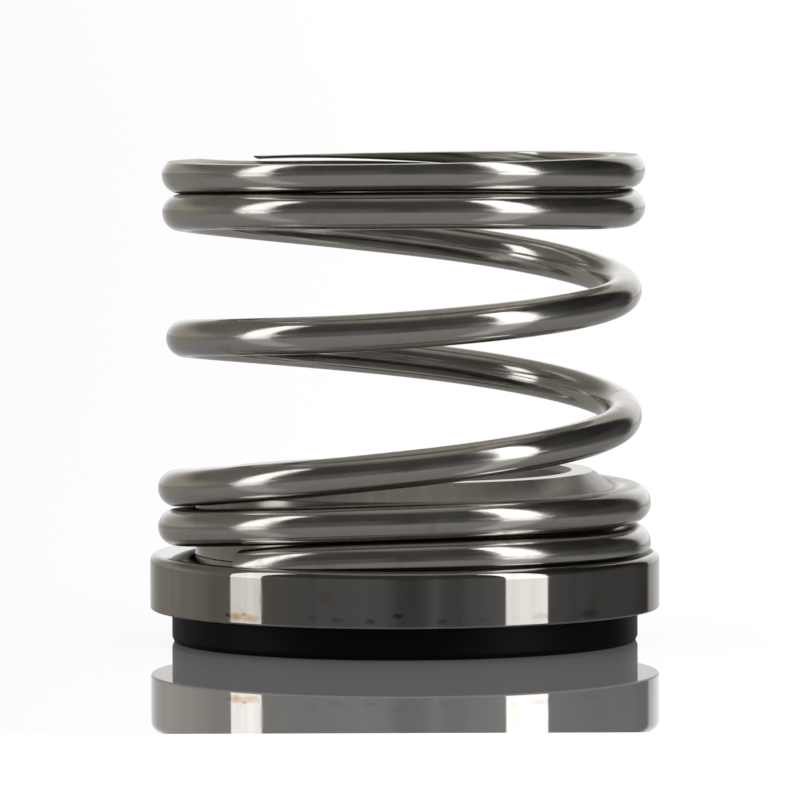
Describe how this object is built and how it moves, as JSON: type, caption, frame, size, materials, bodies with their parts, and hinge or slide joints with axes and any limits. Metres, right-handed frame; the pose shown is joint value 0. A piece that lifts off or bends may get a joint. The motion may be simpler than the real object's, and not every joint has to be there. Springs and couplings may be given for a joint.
{
  "type": "mechanical face seal rotary head",
  "caption": "Rotary head of a mechanical face seal: a black seal face ring pressed into a stainless flanged hub, driven and loaded by a single round-wire compression spring.",
  "frame": {"origin": "on the shaft's axis, in the plane of the seal face the head stands on", "axes": "+Z along the shaft's axis, from the seal face towards the spring's free end; -Y towards the camera of the picture"},
  "size_m": [0.056, 0.056, 0.0534],
  "materials": {
    "head_steel": "finely turned stainless steel, handled and lightly stained",
    "carbon_face": "black carbon, fine satin",
    "seal_rubber": "black moulded rubber",
    "spring_wire": "bright drawn stainless wire with fine draw marks and small nicks"
  },
  "bodies": {
    "head": {"seal_head": "head_steel", "seal_face": "carbon_face", "shaft_o_ring": "seal_rubber"},
    "spring": {"compression_spring": "spring_wire"}
  },
  "joints": [
    {"name": "spring_compression", "type": "slide", "parent": "head", "child": "spring", "axis": [0, 0, -1], "range_m": [0, 0.008], "stiffness_N_per_m": 7700, "deforming": ["compression_spring"]}
  ]
}
